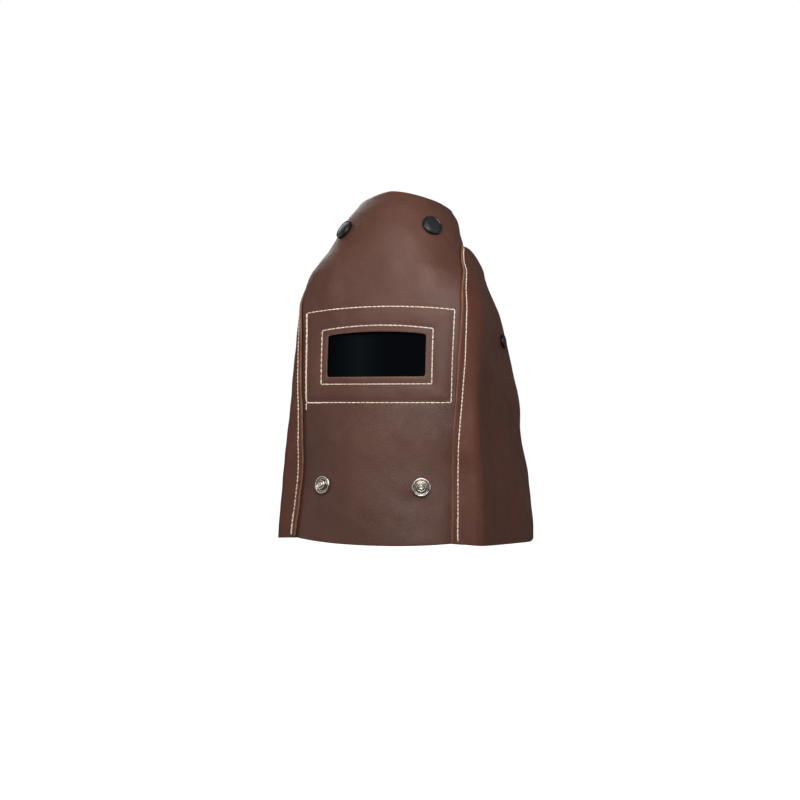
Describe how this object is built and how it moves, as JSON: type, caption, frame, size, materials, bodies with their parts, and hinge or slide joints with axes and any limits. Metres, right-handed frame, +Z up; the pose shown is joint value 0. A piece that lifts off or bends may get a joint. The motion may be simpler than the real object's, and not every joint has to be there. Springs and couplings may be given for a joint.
{
  "type": "leather welding hood",
  "caption": "Leather face hood with stitched side panels, a free crown flap, an arched viewing window with a dark lens, snap fasteners and an elastic strap behind the head.",
  "frame": {"origin": "inside the hood on its middle plane, level with the side snaps, where the centre of the head sits", "axes": "+Z up the hood towards the crown, the window looks along -Y, +X is the wearer's left"},
  "size_m": [0.228, 0.2949, 0.3448],
  "materials": {
    "front_leather": "smooth brown grain, slight gloss",
    "side_leather": "smooth brown grain, slight gloss",
    "pocket_leather": "matte split leather",
    "dark_glass": "near black welding shade",
    "black_snap": "black enamel, glossy dome",
    "nickel_stud": "nickel plate",
    "white_elastic": "woven elastic"
  },
  "bodies": {
    "root": {"front_panel": "front_leather", "side_panel_left": "side_leather", "side_panel_right": "side_leather", "lens_pocket": "pocket_leather", "lens": "dark_glass", "crown_snap_left": "black_snap", "crown_snap_right": "black_snap", "side_snap_left": "black_snap", "side_snap_right": "black_snap", "bib_stud_left": "nickel_stud", "bib_stud_right": "nickel_stud", "head_strap": "white_elastic"}
  },
  "joints": []
}
